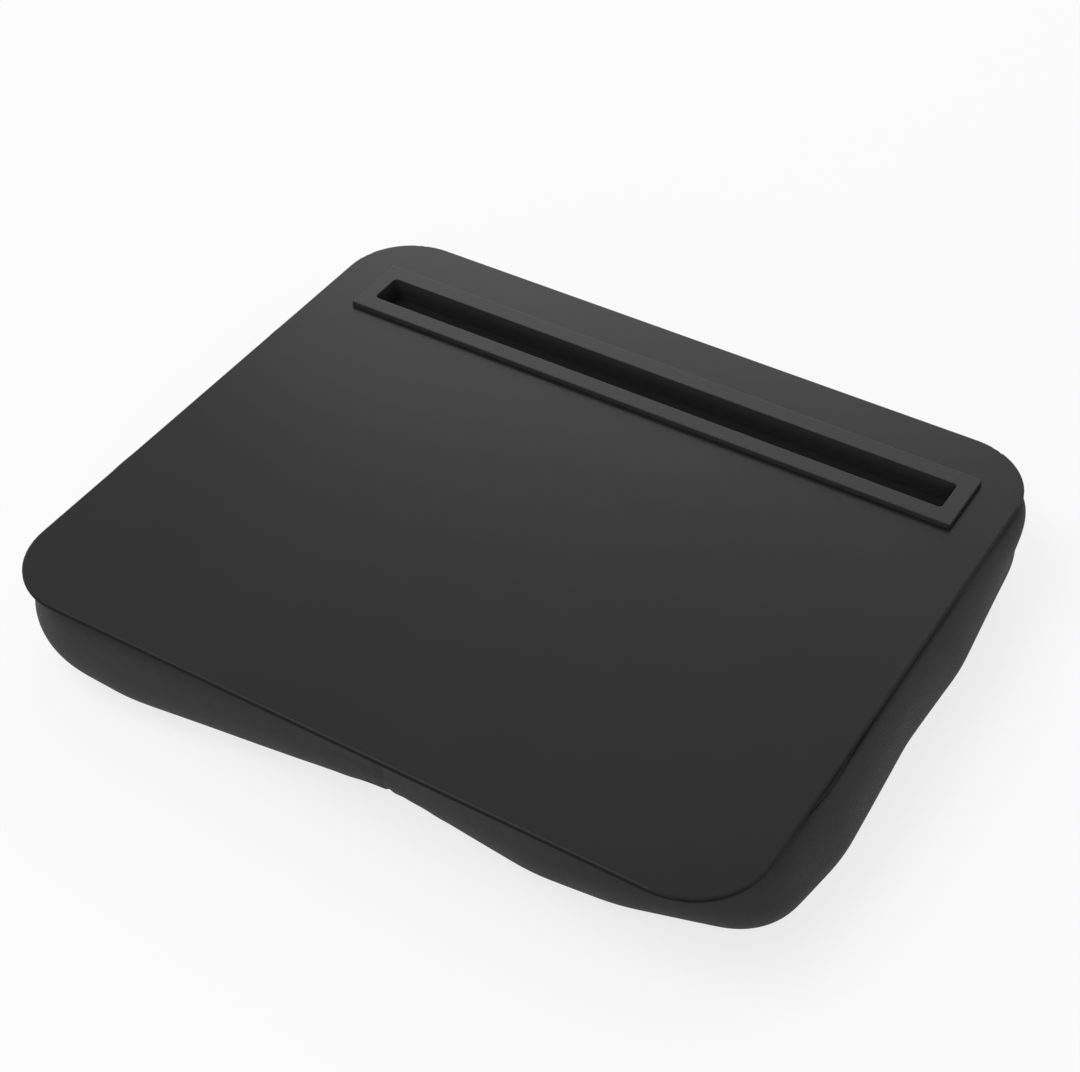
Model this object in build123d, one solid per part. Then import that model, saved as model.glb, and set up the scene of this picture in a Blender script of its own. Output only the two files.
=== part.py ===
"""Lap tray: a thin board with a device slot, held by hook-and-loop strips on a zipped bead cushion.

Millimetres. +Z is up, +X to the right and +Y to the back. The origin is on the floor, under the
middle of the board.
"""

import os

from build123d import *

os.makedirs("parts", exist_ok=True)

# --- board ---
board_width = 380
board_depth = 320
board_thickness = 3
board_corner_radius = 36.4
board_edge_round = 1.2

# --- device slot and its bezel ---
slot_length = 320
slot_width = 18.6
slot_corner_radius = 2
slot_depth = 12.3  # from the top of the bezel
slot_from_back_edge = 47.6  # from the back edge of the board to the middle of the slot
bezel_end_border = 8.5
bezel_front_border = 9.3
bezel_rear_border = 9.3
bezel_rise = 2.5  # above the board
bezel_sink = 0.5  # into the board
bezel_corner_radius = 1.2
bezel_edge_round = 0.5
trough_wall = 1.6
trough_mouth_round = 0.4
insert_clearance = 0.2
snap_hook_count = 6
snap_hook_length = 14
snap_hook_reach = 1.1
snap_hook_height = 2.6
snap_hook_gap = 0.1  # below the board

# --- cushion ---
cushion_height = 52
cushion_side_overhang = 12  # of the fullest outline past the left and right edges of the board
cushion_front_overhang = 0.5
cushion_back_overhang = 0.5
front_pinch_x = 18  # where the seam draws the front in
front_pinch = 17
side_pinch_y = -5
side_pinch = 4
back_pinch = 8
lobe_round = 90
pinch_round = 70
bottom_seam_height = 5
top_seam_height = 49  # just inside the edge of the board
seam_slit = 0.3
seam_x = 14  # the upright seam that joins the ends of the side band
cover_fabric = 1.2
bag_fabric = 0.6
layer_gap = 0.2

# Upright profile of the pillow: (share of the height, distance inside the fullest outline,
# share of the pinches' depth)
pillow_levels = [
    (0.00, 25.0, 1.10),
    (0.07, 13.5, 1.05),
    (0.22, 5.0, 1.00),
    (0.50, 0.0, 1.00),
    (0.76, 3.5, 0.85),
    (0.92, 9.0, 0.50),
    (1.00, 13.5, 0.30),
]

# --- room in the top of the cushion for the slot trough ---
trench_clearance = 1.0
trench_side_clearance = 2.6

# --- hook-and-loop strips ---
strip_width = 25
strip_thickness = 1.0  # of each half
strip_corner_radius = 2
cross_strip_length = 190
side_strip_length = 150
front_strip_inset = 42  # from the front edge of the board to the middle of the strip
side_strip_inset = 32  # from the side edges of the board to the middle of the strips
rear_strip_margin = 8  # from the trench to the strip in front of it

# --- zip, sunk in a valley between the two top panels ---
zip_y = 20
zip_length = 270
zip_valley_depth = 5.5
zip_valley_margin = 1  # from the tapes to the sides of the valley
zip_tape_width = 12
zip_tape_thickness = 0.6
zip_tape_split = 1.0  # from the middle of the zip to the edge of each tape
zip_hem_lap = 8  # of each tape on its panel
zip_tooth_pitch = 3.0
zip_tooth_gap = 0.15  # between meshed teeth
zip_tooth_reach = 1.2  # past the middle of the zip
zip_spine_outer = 2.8  # from the middle of the zip to the outside of the teeth
zip_tooth_height = 1.6
zip_stop_length = 4
zip_stop_corner = 0.8
slider_length = 11
slider_wall = 1.1
slider_clearance = 0.2
slider_crown = 0.5
slider_corner = 1.8
slider_edge_round = 0.4
slider_bridge_length = 6.6
slider_bridge_width = 2.2
slider_bridge_corner = 0.8

# --- derived sizes ---
strips_together = 2 * strip_thickness
board_underside = cushion_height + strips_together
board_top = board_underside + board_thickness
bezel_top = board_top + bezel_rise
bezel_bottom = board_top - bezel_sink
slot_y = board_depth / 2 - slot_from_back_edge
slot_floor = bezel_top - slot_depth
trough_bottom = slot_floor - trough_wall
trough_length = slot_length + 2 * trough_wall
trough_width = slot_width + 2 * trough_wall
bezel_length = slot_length + 2 * bezel_end_border
bezel_width = slot_width + bezel_front_border + bezel_rear_border
bezel_y = slot_y + (bezel_rear_border - bezel_front_border) / 2
half_width = board_width / 2 + cushion_side_overhang
front_reach = board_depth / 2 + cushion_front_overhang
back_reach = board_depth / 2 + cushion_back_overhang
valley_floor = cushion_height - zip_valley_depth
tape_top = valley_floor + zip_tape_thickness
teeth_top = tape_top + zip_tooth_height
bag_depth = cover_fabric + layer_gap
fill_depth = bag_depth + bag_fabric + layer_gap
tape_outer_edge = zip_tape_split + zip_tape_width
valley_half_width = tape_outer_edge + zip_valley_margin
trench_half_length = trough_length / 2 + trench_side_clearance
trench_half_width = trough_width / 2 + trench_side_clearance
panel_slit_half = tape_outer_edge - zip_hem_lap
zip_right_end = zip_length / 2
front_strip_y = front_strip_inset - board_depth / 2
rear_strip_y = slot_y - trench_half_width - rear_strip_margin - strip_width / 2
side_strip_x = board_width / 2 - side_strip_inset


def block(length, width, low, high, x=0.0, y=0.0, corner=0.0):
    """An upright block over a rectangle, from z low to z high, with rounded upright corners."""
    plan = RectangleRounded(length, width, corner) if corner else Rectangle(length, width)
    return Pos(x, y, low) * extrude(plan, high - low)


def save(name, solid):
    solid.label = name
    export_step(solid, f"parts/{name}.step")


# --- board and slot insert ---


def make_board():
    """The board, with the hole for the trough and a shallow rebate under the bezel."""
    board = block(board_width, board_depth, board_underside, board_top, corner=board_corner_radius)
    rims = board.edges().filter_by(GeomType.LINE).filter_by(Axis.Z, reverse=True)
    rims += board.edges().filter_by(GeomType.CIRCLE)
    board = fillet(rims, min(board_edge_round, 0.45 * board_thickness))
    hole = block(
        trough_length + 2 * insert_clearance,
        trough_width + 2 * insert_clearance,
        board_underside - 1,
        board_top + 1,
        y=slot_y,
        corner=slot_corner_radius + trough_wall + insert_clearance,
    )
    rebate = block(
        bezel_length + 2 * insert_clearance,
        bezel_width + 2 * insert_clearance,
        bezel_bottom,
        board_top + 1,
        y=bezel_y,
        corner=bezel_corner_radius + insert_clearance,
    )
    return board - hole - rebate


def snap_hook(x, side):
    """A wedge on the long wall of the trough that catches under the board; side is -1 or 1."""
    top = board_underside - snap_hook_gap
    wall = slot_y + side * (trough_width / 2 - trough_wall / 2)
    tip = slot_y + side * (trough_width / 2 + snap_hook_reach)
    outline = Polyline((wall, top), (tip, top), (wall, top - snap_hook_height), close=True)
    return Pos(x - snap_hook_length / 2, 0, 0) * extrude(
        Plane.YZ * make_face(outline), snap_hook_length
    )


def make_slot_insert():
    """Bezel, trough and snap hooks in one moulding."""
    bezel = block(
        bezel_length, bezel_width, bezel_bottom, bezel_top, y=bezel_y, corner=bezel_corner_radius
    )
    bezel = fillet(bezel.faces().sort_by(Axis.Z)[-1].edges(), bezel_edge_round)
    trough = block(
        trough_length,
        trough_width,
        trough_bottom,
        bezel_bottom,
        y=slot_y,
        corner=slot_corner_radius + trough_wall,
    )
    slot = block(
        slot_length, slot_width, slot_floor, bezel_top + 1, y=slot_y, corner=slot_corner_radius
    )
    insert = bezel + trough - slot
    mouth = insert.edges().filter_by_position(Axis.Z, bezel_top - 0.01, bezel_top + 0.01)
    mouth = mouth.filter_by(lambda edge: abs(edge.center().Y - slot_y) < slot_width / 2 + 0.01)
    mouth = mouth.filter_by(lambda edge: abs(edge.center().X) < slot_length / 2 + 0.01)
    insert = fillet(mouth, trough_mouth_round)
    pitch = slot_length / (snap_hook_count // 2)
    for column in range(snap_hook_count // 2):
        x = (column + 0.5) * pitch - slot_length / 2
        insert += snap_hook(x, -1) + snap_hook(x, 1)
    return insert


# --- cushion ---


def pillow_outline(inset, pinch_share, z):
    """Plan of the pillow at one height: two lobes to a side, with a drawn-in waist between."""
    front = -front_reach
    back = back_reach
    right = half_width
    points = [
        # x, y, fillet radius
        (-right + 5, front + 4, 56),
        (-0.60 * right, front + 0.3, lobe_round),
        (front_pinch_x, front + front_pinch * pinch_share, pinch_round),
        (0.46 * right, front + 10 * pinch_share, lobe_round),
        (0.66 * right, front + 14, lobe_round),
        (right - 7, front + 32, 30),
        (right + 0.5, 0.48 * front, lobe_round),
        (right - side_pinch * pinch_share, side_pinch_y, pinch_round),
        (right - 2.5, 0.30 * back, lobe_round),
        (right - 13, back - 1, 46),
        (0.56 * right, back, lobe_round),
        (0, back - back_pinch * pinch_share, pinch_round),
        (-0.56 * right, back, lobe_round),
        (-right + 10, back, 44),
        (-right - 0.5, 0.42 * back, lobe_round),
        (-right + side_pinch * pinch_share, side_pinch_y, pinch_round),
        (-right - 0.5, 0.42 * front, lobe_round),
    ]
    shrink_x = (half_width - inset) / half_width
    shrink_y = (front_reach - inset) / front_reach
    corners = [(x * shrink_x, y * shrink_y) for x, y, _ in points]
    radii = [radius * shrink_y for _, _, radius in points]
    return Pos(0, 0, z) * make_face(FilletPolyline(*corners, radius=radii, close=True))


def pillow(depth):
    """The cushion with everything outside the given depth of its skin peeled away."""
    height = cushion_height - 2 * depth
    sections = [
        pillow_outline(inset + depth, pinch_share, depth + share * height)
        for share, inset, pinch_share in pillow_levels
    ]
    above = cushion_height + 1
    trench = block(
        2 * (trench_half_length + depth),
        2 * (trench_half_width + depth),
        trough_bottom - trench_clearance - depth,
        above,
        y=slot_y,
    )
    valley = block(
        zip_length + 2 * (zip_stop_length + depth),
        2 * (valley_half_width + depth),
        valley_floor - depth,
        above,
        y=zip_y,
    )
    return loft(sections) - trench - valley


def slab(low, high):
    """All the room between two heights, wider than the part."""
    return block(3 * board_width, 3 * board_depth, low, high)


def top_room():
    """The room of the top panels: above their seam, and lower around the trench and the zip valley."""
    front = zip_y - valley_half_width - 2 * cover_fabric
    back = slot_y + trench_half_width + 2 * cover_fabric
    pans = block(
        2 * (trench_half_length + 2 * cover_fabric),
        back - front,
        cushion_height / 2,
        cushion_height,
        y=(front + back) / 2,
    )
    return slab(top_seam_height, cushion_height + 1) + pans


def make_cover_panels():
    """The four cut panels of the cover, split at its seams."""
    cover = pillow(0) - pillow(cover_fabric)
    top = cover & top_room()
    far = 3 * board_depth
    behind = block(3 * board_width, far, 0, 2 * cushion_height, y=zip_y + far / 2)
    below = valley_floor - 2 * cover_fabric
    slit = block(zip_length, 2 * panel_slit_half, below, cushion_height, y=zip_y)
    band = (cover & slab(bottom_seam_height, cushion_height)) - top_room()
    band -= block(seam_slit, front_reach, 0, cushion_height, x=seam_x, y=-front_reach)
    return {
        "cover_bottom_panel": cover & slab(-1, bottom_seam_height),
        "cover_side_band": band,
        "cover_top_panel_front": top - behind - slit,
        "cover_top_panel_rear": (top & behind) - slit,
    }


def make_bag_and_fill():
    """The two sewn halves of the bead bag, and the beads as one mass."""
    bag = pillow(bag_depth) - pillow(bag_depth + bag_fabric)
    middle = cushion_height / 2
    return {
        "bead_bag_bottom": bag & slab(0, middle),
        "bead_bag_top": bag & slab(middle, cushion_height),
        "bead_fill": pillow(fill_depth),
    }


# --- hook-and-loop strips ---


def make_strips():
    """Loop strips on the cushion, and the hook strips on the board that face them."""
    places = {
        "front": (cross_strip_length, strip_width, 0, front_strip_y),
        "rear": (cross_strip_length, strip_width, 0, rear_strip_y),
        "left": (strip_width, side_strip_length, -side_strip_x, 0),
        "right": (strip_width, side_strip_length, side_strip_x, 0),
    }
    middle = cushion_height + strip_thickness
    strips = {}
    for side, (length, width, x, y) in places.items():
        strips[f"loop_strip_{side}"] = block(
            length, width, cushion_height, middle, x, y, strip_corner_radius
        )
        strips[f"hook_strip_{side}"] = block(
            length, width, middle, board_underside, x, y, strip_corner_radius
        )
    return strips


# --- zip ---


def make_zip_tape(side):
    """One woven tape, lapped on its panel; side is -1 for the front one, 1 for the rear one."""
    y = zip_y + side * (zip_tape_split + zip_tape_width / 2)
    return block(zip_length, zip_tape_width, valley_floor, tape_top, y=y)


def make_zip_teeth(side):
    """One row of closed teeth: a comb whose teeth lie between those of the other row."""
    tooth = zip_tooth_pitch / 2 - zip_tooth_gap
    root = zip_tooth_reach + zip_tooth_gap
    count = int((zip_length - 2 * zip_stop_length) / zip_tooth_pitch) - 1
    start = -count * zip_tooth_pitch / 2 + (zip_tooth_pitch / 2 if side > 0 else 0)
    points = [(start, zip_spine_outer), (start, root)]
    for number in range(count):
        left = start + number * zip_tooth_pitch
        points += [
            (left, -zip_tooth_reach),
            (left + tooth, -zip_tooth_reach),
            (left + tooth, root),
            (left + zip_tooth_pitch, root),
        ]
    points += [(start + count * zip_tooth_pitch, zip_spine_outer)]
    comb = make_face(Polyline(*[(x, side * y) for x, y in points], close=True))
    return Pos(0, zip_y, tape_top) * extrude(comb, zip_tooth_height, dir=(0, 0, 1))


def make_zip_stop(side):
    """The metal clip that ends the teeth; side is 1 at the closed end, -1 at the other."""
    x = side * (zip_right_end - zip_stop_length / 2)
    width = 2 * zip_spine_outer
    return block(
        zip_stop_length, width, tape_top, teeth_top, x=x, y=zip_y, corner=zip_stop_corner
    )


def slider_rest_x():
    """Middle of the slider when the zip is closed, beside the closed-end stop."""
    return zip_right_end - zip_stop_length - slider_clearance - slider_length / 2 - zip_tooth_pitch


def make_zip_slider():
    """A slider without a pull: a saddle over the teeth, with a low raised bridge."""
    inner = zip_spine_outer + slider_clearance
    roof = teeth_top + slider_clearance
    x = slider_rest_x()
    body = block(
        slider_length,
        2 * (inner + slider_wall),
        tape_top + slider_clearance,
        roof + slider_wall,
        x=x,
        y=zip_y,
        corner=slider_corner,
    )
    body = fillet(body.faces().sort_by(Axis.Z)[-1].edges(), slider_edge_round)
    channel = block(slider_length + 2, 2 * inner, tape_top, roof, x=x, y=zip_y)
    bridge = block(
        slider_bridge_length,
        slider_bridge_width,
        roof,
        roof + slider_wall + slider_crown,
        x=x,
        y=zip_y,
        corner=slider_bridge_corner,
    )
    return body - channel + bridge


nodes = {
    "board": make_board(),
    "slot_insert": make_slot_insert(),
    **make_strips(),
    **make_cover_panels(),
    **make_bag_and_fill(),
    "zip_tape_front": make_zip_tape(-1),
    "zip_tape_rear": make_zip_tape(1),
    "zip_teeth_front": make_zip_teeth(-1),
    "zip_teeth_rear": make_zip_teeth(1),
    "zip_stop_closed": make_zip_stop(1),
    "zip_stop_open": make_zip_stop(-1),
    "zip_slider": make_zip_slider(),
}
for name, solid in nodes.items():
    save(name, solid)
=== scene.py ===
"""Looks of the lap tray: a matt black board with a device slot on a zipped, bead-filled cushion.

Metres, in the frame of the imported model: +Z up, +Y to the back, where the slot is.
"""

import math

import bpy
import numpy as np
from mathutils import Matrix, Vector, noise
from mathutils.bvhtree import BVHTree
from mathutils.geometry import delaunay_2d_cdt


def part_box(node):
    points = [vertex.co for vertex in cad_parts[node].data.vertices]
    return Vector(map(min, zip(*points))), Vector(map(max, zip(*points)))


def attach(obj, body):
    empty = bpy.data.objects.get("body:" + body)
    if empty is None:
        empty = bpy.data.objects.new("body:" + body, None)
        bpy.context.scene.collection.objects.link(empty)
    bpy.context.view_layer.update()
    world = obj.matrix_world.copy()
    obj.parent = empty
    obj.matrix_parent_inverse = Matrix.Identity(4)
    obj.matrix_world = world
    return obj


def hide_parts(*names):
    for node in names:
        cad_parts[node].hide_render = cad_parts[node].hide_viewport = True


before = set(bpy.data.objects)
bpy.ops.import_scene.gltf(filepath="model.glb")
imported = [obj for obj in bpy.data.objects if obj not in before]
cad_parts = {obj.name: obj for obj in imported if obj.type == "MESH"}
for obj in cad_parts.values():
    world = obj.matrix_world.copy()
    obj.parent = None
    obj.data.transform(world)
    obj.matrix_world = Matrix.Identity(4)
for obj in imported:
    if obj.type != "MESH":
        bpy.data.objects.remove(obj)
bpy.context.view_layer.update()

MM = 0.001

# --- sizes, read from the frame where it has them ---
COVERS = ["cover_bottom_panel", "cover_side_band", "cover_top_panel_front", "cover_top_panel_rear"]
BOARD_LOW, BOARD_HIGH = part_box("board")
BAND_LOW, BAND_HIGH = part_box("cover_side_band")
INSERT_LOW, INSERT_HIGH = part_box("slot_insert")
TAPE_LOW, TAPE_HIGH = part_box("zip_tape_front")
REAR_TAPE_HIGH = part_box("zip_tape_rear")[1]
CUSHION_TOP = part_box("loop_strip_front")[0].z
BOTTOM_SEAM_Z = BAND_LOW.z
TOP_SEAM_Z = BAND_HIGH.z
CLOTH_MAP = "cloth"  # name of the panels' own maps, in metres of cloth
COVER_FABRIC = 1.2 * MM
BAG_FABRIC = 0.6 * MM
BAG_DEPTH = 2.5 * MM  # of the bag of beads inside the cover's skin
BEAD_DEPTH = 3.3 * MM  # of the beads inside the cover's skin
STRIP_CORNER = 2 * MM
EDGE_ROUGHNESS = 0.5  # that the plastic's upright faces have over its level ones
SLOT_PAINTED_SHADE = 0.55  # share of the insert's tone left at the bottom of the slot: painted shade
ROLL_RADIUS = 26 * MM  # of the pillow's rounded sides
SEAM_X = 14 * MM  # the upright seam at the front
SHOULDER = 3.6 * MM  # that the stuffed skin stands out below the edge of the board
SHOULDER_START, SHOULDER_SPAN = 12, 78  # degrees up the side
OUTLINE_RAYS = 1440
RIM_TOP = BOARD_LOW.z - 0.35 * MM  # of the swelling round the board's edge
RIM_WIDTH = 13 * MM
CORNER_X = 176 * MM  # of the fullness at the cushion's back right corner
CORNER_Y = 138 * MM
CORNER_SPREAD = 50 * MM
CORNER_AIM = (0.843, 0.537)
CORNER_PUSH = 10 * MM  # near the top
CORNER_TURNS = (2, 60, 64, 90)  # degrees up the side: the push starts, is full, falls, ends
CORNER_FALL = 0.6  # share of the push lost over the top of the side
SEAM_STEPS = (0.8 * MM, 2.2 * MM, 4.2 * MM)  # from a seam to the points close beside it

# --- hollows in the top of the cushion, under the slot's trough and the zip ---
TROUGH_Y = (INSERT_LOW.y + INSERT_HIGH.y) / 2
TROUGH_END_MARGIN = 6.9 * MM  # from the ends of the bezel to the ends of the trough
TROUGH_SIDE_MARGIN = 7.7 * MM  # from the sides of the bezel to the sides of the trough
TROUGH_HALF_LENGTH = (INSERT_HIGH.x - INSERT_LOW.x) / 2 - TROUGH_END_MARGIN
TROUGH_HALF_WIDTH = (INSERT_HIGH.y - INSERT_LOW.y) / 2 - TROUGH_SIDE_MARGIN
TRENCH_FLOOR = INSERT_LOW.z - 1.0 * MM
TRENCH_CLEARANCE = 1.2 * MM  # from the trough to the foot of the trench's walls
TRENCH_SLOPE = 5 * MM
ZIP_Y = (TAPE_LOW.y + REAR_TAPE_HIGH.y) / 2
VALLEY_FLOOR = TAPE_LOW.z
VALLEY_HALF_WIDTH = 13.4 * MM
VALLEY_SLOPE = 4.5 * MM
VALLEY_END_MARGIN = 2 * MM  # from the ends of the tapes to the ends of the valley
SLIT_HALF_WIDTH = 5 * MM  # in the top, under the zip
SLIT_HALF_LENGTH = (TAPE_HIGH.x - TAPE_LOW.x) / 2

# --- stuffing and creases ---
STUFFING_PRESSURE = 4.0
STUFFING_FRAMES = 20
STUFFING_MOST = 3.5 * MM  # that the pressure may move the skin
STUFFING_PASSES = 60  # of smoothing along the seams
KEPT_FOLDS = 0.12  # share of the simulated folds that stays
SEAM_HOLD = 0.04  # radians beside a seam that the seam holds still
GROOVE_WIDTH = 1.1 * MM
LOW_GROOVE = 0.7 * MM  # depth of the seam round the bottom panel
HIGH_GROOVE = 0.4 * MM  # of the seam under the board
UPRIGHT_GROOVE = 0.9 * MM  # of the upright seam
UPRIGHT_GROOVE_WIDTH = 1.2 * MM
PUCKER = 0.12 * MM
FOLD = 0.2 * MM
FAN = 0.5 * MM  # depth of the folds that fan out from the upright seam
FAN_WIDTH = 30 * MM
STRIP_SINK = 9 * MM  # distance over which the swollen top comes down to a loop strip

# --- camera, from fitting the board's outline in the photograph ---
PHOTO_WIDTH = 1080
FOCAL_PIXELS = 2215.9
CAMERA_AZIMUTH = math.radians(32.49)
CAMERA_ELEVATION = math.radians(42.36)
CAMERA_ROLL = math.radians(-0.95)
CAMERA_DISTANCE = 1.0196
CAMERA_TARGET = Vector((9.6 * MM, -7.4 * MM, BOARD_HIGH.z))
SENSOR_WIDTH = 36.0

# --- studio ---
WORLD_LIGHT = 0.55
FLOOR_REACH = 4.0
FLOOR_WHITE = 0.76  # share of the floor's white that is its own
FLOOR_GAP = 0.2 * MM  # below the cushion, so that the two faces don't share a plane
LAMPS = {  # place, target, size and power of each
    "back_wall": ((-0.87, 1.8, 0.9), (0, 0, 0.6), (1.3, 1.2), 11),
    "overhead": ((-0.75, -0.75, 1.9), (0, 0, 0.05), (1.2, 1.2), 17),
    "front": ((0.6, -1.8, 0.45), (0, 0, 0.03), (0.9, 0.5), 8),
}


# --- shader helpers ---


class Shader:
    """A node material, with short ways to add nodes and join them."""

    def __init__(self, name):
        self.material = bpy.data.materials.new(name)
        self.material.use_nodes = True
        self.tree = self.material.node_tree
        self.surface = self.tree.nodes["Principled BSDF"]

    def node(self, kind, **settings):
        made = self.tree.nodes.new(kind)
        for key, value in settings.items():
            setattr(made, key, value)
        return made

    def join(self, source, target):
        self.tree.links.new(source, target)

    def put(self, socket, value):
        if isinstance(value, bpy.types.NodeSocket):
            self.join(value, socket)
        else:
            socket.default_value = value

    def math(self, operation, first, second=0.0):
        made = self.node("ShaderNodeMath", operation=operation)
        self.put(made.inputs[0], first)
        self.put(made.inputs[1], second)
        return made.outputs[0]

    def noise(self, vector, scale, detail=2.0, roughness=0.5):
        made = self.node("ShaderNodeTexNoise")
        self.join(vector, made.inputs["Vector"])
        made.inputs["Scale"].default_value = scale
        made.inputs["Detail"].default_value = detail
        made.inputs["Roughness"].default_value = roughness
        return made.outputs["Fac"]

    def ramp(self, value, low, high, start=0.3, end=0.7):
        """Carries a noise value between start and end to a value between low and high."""
        made = self.node("ShaderNodeMapRange")
        self.join(value, made.inputs["Value"])
        made.inputs["From Min"].default_value = start
        made.inputs["From Max"].default_value = end
        made.inputs["To Min"].default_value = low
        made.inputs["To Max"].default_value = high
        return made.outputs["Result"]

    def shade(self, value, first, second):
        """A colour between two others, each of them plain or a node's."""
        made = self.node("ShaderNodeMix", data_type="RGBA")
        self.join(value, made.inputs["Factor"])
        for socket, colour in zip(made.inputs[6:8], (first, second)):
            self.put(socket, (*colour, 1) if isinstance(colour, tuple) else colour)
        return made.outputs[2]

    def bump(self, height, depth):
        made = self.node("ShaderNodeBump")
        made.inputs["Strength"].default_value = 1.0
        made.inputs["Distance"].default_value = depth
        self.join(height, made.inputs["Height"])
        return made.outputs["Normal"]

    def place(self):
        return self.node("ShaderNodeTexCoord").outputs["Object"]

    def set(self, **values):
        for key, value in values.items():
            self.put(self.surface.inputs[key.replace("_", " ")], value)


def plastic(
    name,
    dark,
    light,
    roughness,
    grain_depth,
    specular=0.2,
    upright_painted_shade=0.2,
    painted_shade_from=None,
    painted_shade_to=None,
):
    """Moulded plastic: fine grain, faint cloudiness and handling marks in the gloss.

    Its upright faces have the side factor times the tone of its level ones, as painted shade that
    keeps highlights off the edges.
    Between two heights, if they are given, it darkens towards the lower one, as painted shade at the
    bottom of a deep slot.
    """
    shader = Shader(name)
    place = shader.place()
    cloud = shader.noise(place, 9.0, 3.0)
    smudge = shader.noise(place, 38.0, 4.0, 0.6)
    grain = shader.noise(place, 2600.0, 2.0, 0.7)
    pebble = shader.noise(place, 900.0, 1.0)
    height = shader.math("ADD", grain, shader.math("MULTIPLY", pebble, 0.8))
    rough = shader.math("ADD", shader.ramp(cloud, -0.01, 0.01), shader.ramp(smudge, -0.01, 0.01))
    if painted_shade_from is None:
        colour = shader.shade(shader.ramp(cloud, 0.0, 1.0), dark, light)
    else:
        split = shader.node("ShaderNodeSeparateXYZ")
        shader.join(place, split.inputs[0])
        # painted shade: the insert darkens towards the bottom of the slot
        slot_painted_shade = shader.ramp(split.outputs["Z"], 1.0, 0.0, painted_shade_to, painted_shade_from)
        colour = shader.shade(slot_painted_shade, light, tuple(value * SLOT_PAINTED_SHADE for value in dark))
    level = facing_up(shader)
    duller = shader.math("MULTIPLY", shader.math("SUBTRACT", 1.0, level), EDGE_ROUGHNESS)
    # painted shade: upright faces take a darker tone than level ones, keeping highlights off the edges
    edge = tuple(value * upright_painted_shade for value in dark)
    shader.set(
        Base_Color=shader.shade(level, edge, colour),
        Roughness=shader.math("ADD", shader.math("ADD", rough, roughness), duller),
        Specular_IOR_Level=specular,
        Normal=shader.bump(height, grain_depth),
    )
    return shader.material


def facing_up(shader):
    """1 on level faces, falling off on the edges, which the moulding leaves duller; the same mask sets
    the painted shade on the upright faces.
    """
    split = shader.node("ShaderNodeSeparateXYZ")
    shader.join(shader.node("ShaderNodeNewGeometry").outputs["Normal"], split.inputs[0])
    return shader.ramp(split.outputs["Z"], 0.0, 1.0, 0.3, 0.95)


def knit(name, dark, light, wale=0.9 * MM, course=0.75 * MM, depth=0.12 * MM):
    """Fine jersey knit: columns of small V stitches, laid along the panel's own cloth map."""
    shader = Shader(name)
    split = shader.node("ShaderNodeSeparateXYZ")
    shader.join(shader.node("ShaderNodeUVMap", uv_map=CLOTH_MAP).outputs["UV"], split.inputs[0])
    place = shader.place()
    wobble = shader.math("MULTIPLY", shader.noise(place, 160.0), 0.35)
    across = shader.math("ADD", shader.math("DIVIDE", split.outputs["X"], wale), wobble)
    along = shader.math("ADD", shader.math("DIVIDE", split.outputs["Y"], course), wobble)
    column = shader.math("FRACT", across)
    half = shader.math("ABSOLUTE", shader.math("SUBTRACT", column, 0.5))
    leaning = shader.math("ADD", along, shader.math("MULTIPLY", half, 1.3))
    loops = shader.math("SINE", shader.math("MULTIPLY", leaning, 2 * math.pi))
    ridge = shader.math("SINE", shader.math("MULTIPLY", column, math.pi))
    yarn = shader.math("MULTIPLY", shader.math("ADD", loops, 1.6), shader.math("ADD", ridge, 0.4))
    fuzz = shader.noise(place, 2400.0, 2.0, 0.8)
    height = shader.math("ADD", shader.math("MULTIPLY", yarn, 0.3), shader.math("MULTIPLY", fuzz, 0.5))
    patch = shader.noise(place, 14.0, 3.0)
    tone = shader.math("ADD", shader.ramp(patch, 0.0, 0.6), shader.math("MULTIPLY", yarn, 0.12))
    shader.set(
        Base_Color=shader.shade(tone, dark, light),
        Roughness=shader.ramp(patch, 0.78, 0.9),
        Sheen_Weight=0.06,
        Sheen_Roughness=0.45,
        Specular_IOR_Level=0.18,
        Normal=shader.bump(height, depth),
    )
    return shader.material


def woven(name, dark, light, pitch, depth, sheen=0.2):
    """Narrow woven tape, from two crossed waves in the frame's own axes."""
    shader = Shader(name)
    split = shader.node("ShaderNodeSeparateXYZ")
    shader.join(shader.place(), split.inputs[0])
    waves = []
    for axis in ("X", "Y"):
        turn = shader.math("MULTIPLY", split.outputs[axis], 2 * math.pi / pitch)
        waves.append(shader.math("SINE", turn))
    cross = shader.math("MULTIPLY", waves[0], waves[1])
    fuzz = shader.noise(shader.place(), 1800.0, 2.0, 0.8)
    height = shader.math("ADD", cross, fuzz)
    shader.set(
        Base_Color=shader.shade(shader.ramp(fuzz, 0.0, 1.0), dark, light),
        Roughness=0.85,
        Sheen_Weight=sheen,
        Specular_IOR_Level=0.2,
        Normal=shader.bump(height, depth),
    )
    return shader.material


def pile(name, dark, light, size, depth, roughness=0.9):
    """The close pile of hook or loop tape."""
    shader = Shader(name)
    place = shader.place()
    cells = shader.node("ShaderNodeTexVoronoi", feature="F1")
    shader.join(place, cells.inputs["Vector"])
    cells.inputs["Scale"].default_value = 1.0 / size
    fuzz = shader.noise(place, 2200.0, 3.0, 0.8)
    height = shader.math("SUBTRACT", fuzz, cells.outputs["Distance"])
    shader.set(
        Base_Color=shader.shade(shader.ramp(fuzz, 0.0, 1.0), dark, light),
        Roughness=roughness,
        Sheen_Weight=0.3,
        Specular_IOR_Level=0.2,
        Normal=shader.bump(height, depth),
    )
    return shader.material


def grey(value):
    return (value, value, value * 1.02)


# --- cushion ---


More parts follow.
